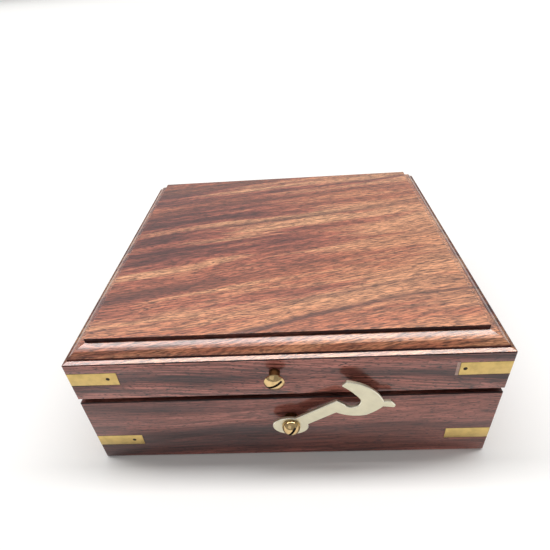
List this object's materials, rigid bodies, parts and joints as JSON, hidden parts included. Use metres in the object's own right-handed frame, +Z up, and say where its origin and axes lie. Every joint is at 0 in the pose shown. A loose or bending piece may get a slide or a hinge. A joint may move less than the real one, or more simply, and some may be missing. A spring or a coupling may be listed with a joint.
{
  "type": "compass box",
  "caption": "Small hardwood box with a hinged moulded lid, inlaid brass corner straps, an anchor shaped hook latch and a round recess inside.",
  "frame": {"origin": "centre of the flat face that the box stands on", "axes": "+Z up, +X along the front to the right, the latch faces -Y"},
  "size_m": [0.127, 0.1266, 0.0502],
  "materials": {
    "rosewood_board": "satin lacquer, warm red brown with dark streaks",
    "rosewood_walls": "satin lacquer, dark purple brown",
    "rosewood_panel": "sanded and waxed",
    "velvet": "deep red velvet pile",
    "strap_brass": "sanded flush with the wood",
    "hook_brass": "pale, fine brushed, filed edges",
    "polished_brass": "polished",
    "hinge_brass": "rolled",
    "steel_pins": "dark, filed flush",
    "pale_filler": "dried filler"
  },
  "bodies": {
    "case": {"base_front_wall": "rosewood_walls", "base_back_wall": "rosewood_walls", "base_left_wall": "rosewood_walls", "base_right_wall": "rosewood_walls", "base_bottom_panel": "rosewood_panel", "base_liner": "velvet", "recess_cushion": "velvet", "base_strap_front_left": "strap_brass", "base_strap_front_right": "strap_brass", "base_strap_back_left": "strap_brass", "base_strap_back_right": "strap_brass", "base_strap_pins": "steel_pins", "hook_pivot_screw": "polished_brass", "hinge_base_leaf_left": "hinge_brass", "hinge_base_leaf_right": "hinge_brass", "hinge_pin_left": "hinge_brass", "hinge_pin_right": "hinge_brass", "hinge_base_screws": "hinge_brass"},
    "lid": {"lid_top_board": "rosewood_board", "lid_front_wall": "rosewood_walls", "lid_back_wall": "rosewood_walls", "lid_left_wall": "rosewood_walls", "lid_right_wall": "rosewood_walls", "lid_cushion": "velvet", "lid_strap_front_left": "strap_brass", "lid_strap_front_right": "strap_brass", "lid_strap_back_left": "strap_brass", "lid_strap_back_right": "strap_brass", "lid_strap_pins": "steel_pins", "lid_strap_filler": "pale_filler", "latch_stud": "polished_brass", "hinge_lid_leaf_left": "hinge_brass", "hinge_lid_leaf_right": "hinge_brass", "hinge_lid_screws": "hinge_brass"},
    "hook": {"anchor_hook": "hook_brass"}
  },
  "joints": [
    {"name": "lid_hinge", "type": "hinge", "parent": "case", "child": "lid", "pos_m": [0, 0.05783, 0.0296], "axis": [-1, 0, 0], "range_deg": [0, 100]},
    {"name": "hook_pivot", "type": "hinge", "parent": "case", "child": "hook", "pos_m": [0.00114, -0.06313, 0.0197], "axis": [0, -1, 0], "range_deg": [-48, 70.28]}
  ]
}
